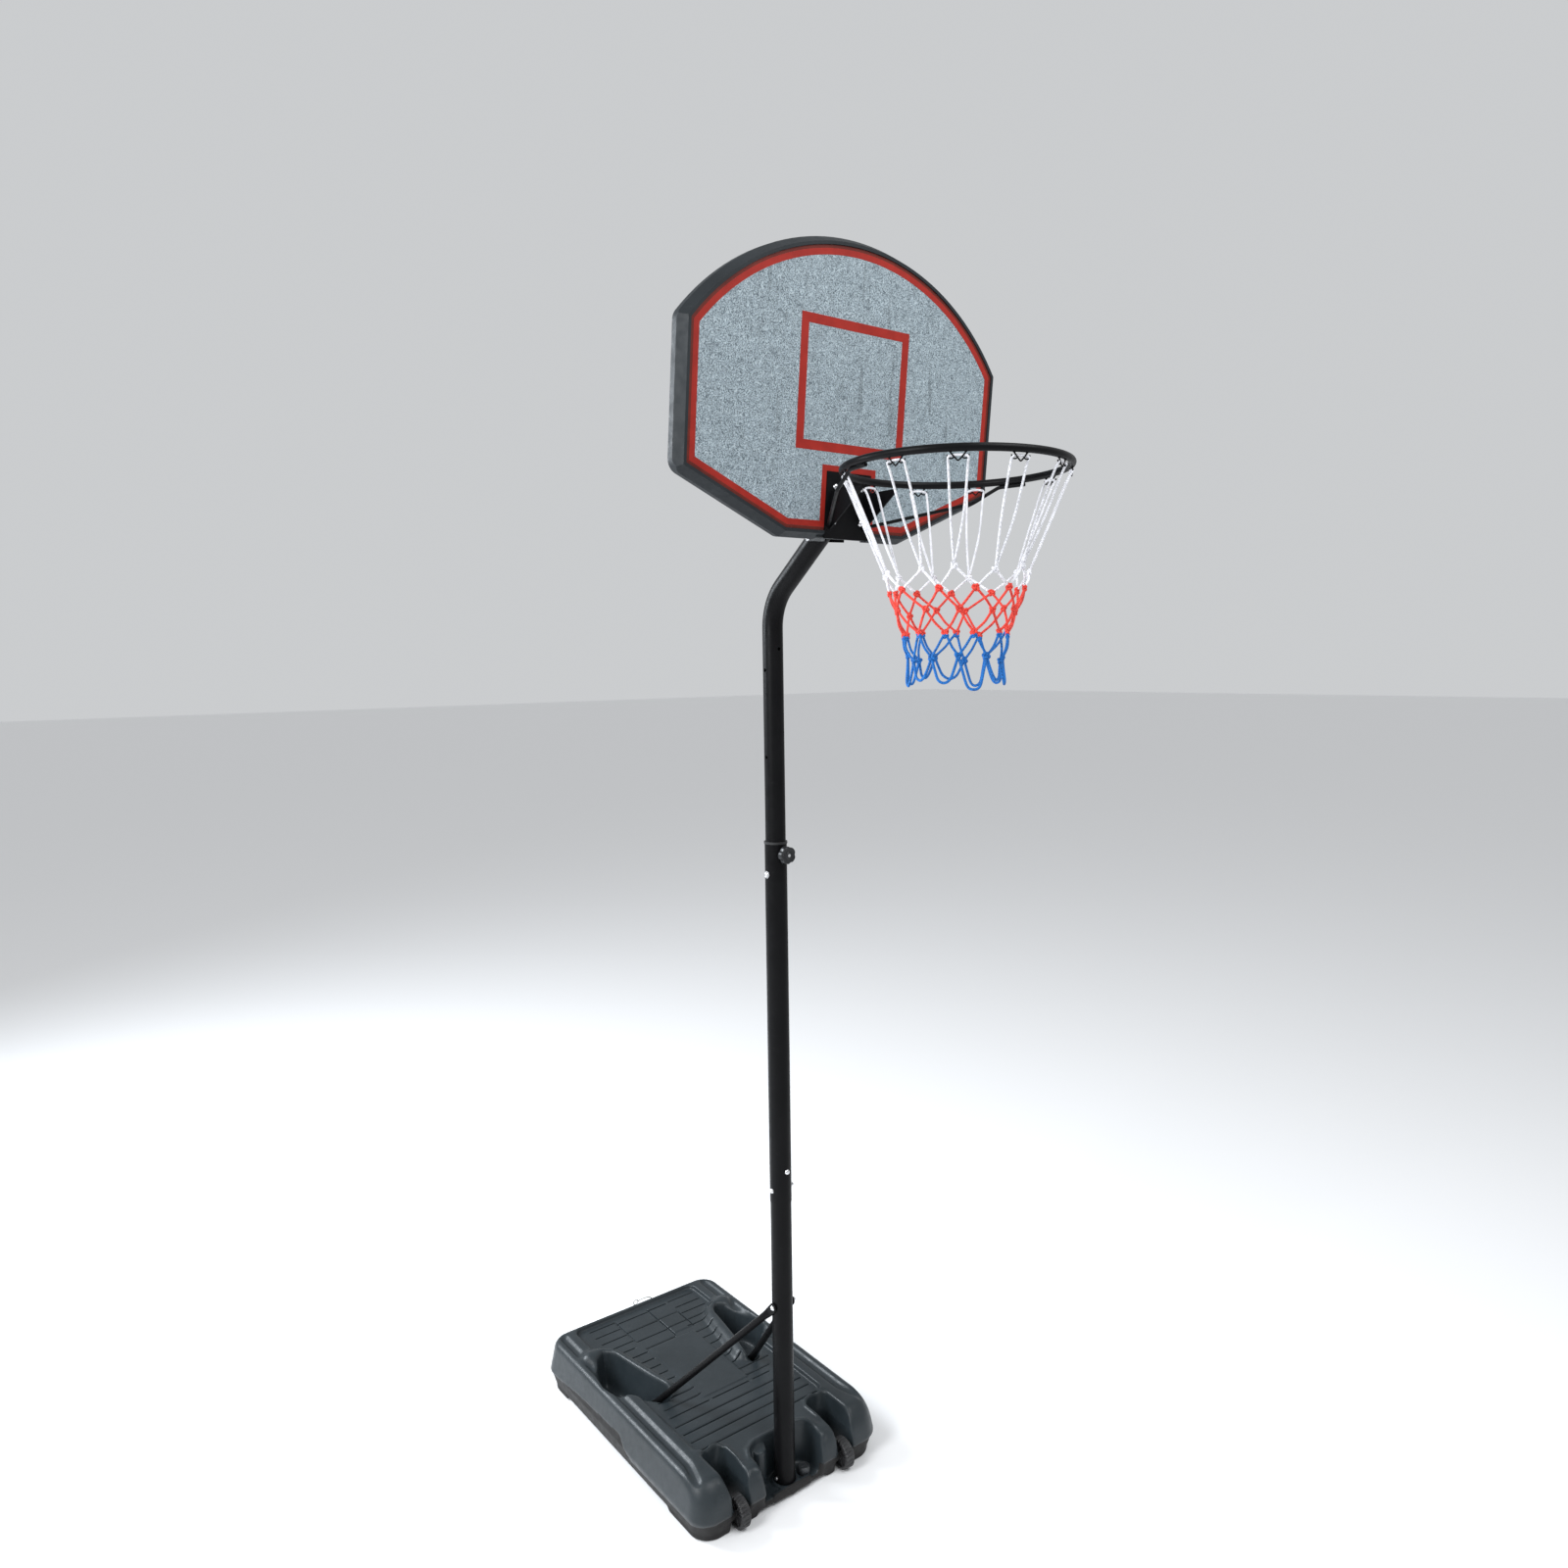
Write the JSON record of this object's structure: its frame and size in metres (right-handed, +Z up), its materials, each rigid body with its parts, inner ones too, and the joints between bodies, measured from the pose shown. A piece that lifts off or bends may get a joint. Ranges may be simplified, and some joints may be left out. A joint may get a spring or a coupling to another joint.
{
  "type": "portable basketball hoop",
  "caption": "Free-standing basketball hoop: wheeled ballast base, strutted telescoping pole with a clamping knob, fan-shaped backboard, hooked rim and knotted net.",
  "frame": {"origin": "on the floor, under the axis of the upright pole", "axes": "+Z up along the pole; -Y towards the court, the way the backboard faces; +X to the right of somebody who stands behind the base and looks at the court reversed, that is, to the right of somebody on the court who faces the board"},
  "size_m": [0.924, 1.7018, 3.1422],
  "materials": {
    "tank_plastic": "slate-black blow-moulded plastic, faint sheen",
    "ballast_sand": "dry sand",
    "seal_rubber": "soft black rubber",
    "cap_plastic": "moulded plastic",
    "wheel_plastic": "hard moulded plastic, ribbed tread",
    "bare_steel": "plain steel",
    "bright_steel": "zinc-bright",
    "black_paint": "satin black powder coat",
    "bush_plastic": "moulded plastic",
    "knob_plastic": "moulded plastic",
    "board_plastic": "charcoal blow-moulded plastic",
    "face_print": "printed film: speckled grey-blue field, red border, target and bracket surround",
    "net_cord": "white, red and blue braided cord"
  },
  "bodies": {
    "base": {"tank_shell": "tank_plastic", "sand_ballast": "ballast_sand", "plug_leash": "seal_rubber", "left_axle": "bare_steel", "right_axle": "bare_steel", "lower_pole": "black_paint", "middle_pole": "black_paint", "pole_bush": "bush_plastic", "left_strut": "black_paint", "right_strut": "black_paint", "strut_head_bolt": "bright_steel", "strut_head_nut": "bright_steel", "strut_foot_bolts": "bright_steel", "pole_joint_bolts": "bright_steel", "pole_joint_nuts": "bright_steel", "pole_foot_pin": "bare_steel", "knob_nut": "black_paint", "height_bolt": "bright_steel", "height_bolt_washer": "bright_steel"},
    "mast": {"upper_pole": "black_paint", "backboard_shell": "board_plastic", "backboard_face": "face_print", "rear_bracket": "black_paint", "rim_bolts": "bright_steel", "rim_nuts": "bright_steel", "arm_bolts": "bright_steel", "arm_nuts": "bright_steel", "rim_ring": "black_paint", "rim_bracket": "black_paint", "left_rim_rod": "black_paint", "right_rim_rod": "black_paint", "net_hooks": "black_paint", "net": "net_cord"},
    "left_wheel_body": {"left_wheel": "wheel_plastic"},
    "right_wheel_body": {"right_wheel": "wheel_plastic"},
    "knob_carrier": {"knob_washer": "bright_steel"},
    "knob_body": {"height_knob": "knob_plastic", "knob_screw": "bright_steel"},
    "cap_carrier": {"cap_seal": "seal_rubber"},
    "cap_body": {"filler_cap": "cap_plastic"},
    "plug_body": {"rear_plug": "seal_rubber"}
  },
  "joints": [
    {"name": "height_slide", "type": "slide", "parent": "base", "child": "mast", "axis": [0, 0, 1], "range_m": [-0.52, 0]},
    {"name": "left_wheel_spin", "type": "hinge", "parent": "base", "child": "left_wheel_body", "pos_m": [-0.1735, -0.031, 0.0405], "axis": [1, 0, 0], "continuous": true},
    {"name": "right_wheel_spin", "type": "hinge", "parent": "base", "child": "right_wheel_body", "pos_m": [0.1735, -0.031, 0.0405], "axis": [1, 0, 0], "continuous": true},
    {"name": "knob_draw", "type": "slide", "parent": "base", "child": "knob_carrier", "axis": [0, -1, 0], "range_m": [0, 0.0062]},
    {"name": "knob_turn", "type": "hinge", "parent": "knob_carrier", "child": "knob_body", "pos_m": [0, -0.0465, 1.72], "axis": [0, -1, 0], "range_deg": [0, 1440]},
    {"name": "cap_rise", "type": "slide", "parent": "base", "child": "cap_carrier", "axis": [0, 0, 1], "range_m": [0, 0.0122]},
    {"name": "cap_turn", "type": "hinge", "parent": "cap_carrier", "child": "cap_body", "pos_m": [0.058, -0.008, 0.035], "axis": [0, 0, 1], "range_deg": [0, 1080]},
    {"name": "plug_pull", "type": "slide", "parent": "base", "child": "plug_body", "axis": [0, 1, 0], "range_m": [0, 0.03]}
  ],
  "couplings": [
    {"joint": "knob_draw", "follows": "knob_turn", "m_per_rad": 0.00023873},
    {"joint": "cap_rise", "follows": "cap_turn", "m_per_rad": 0.00063662}
  ]
}
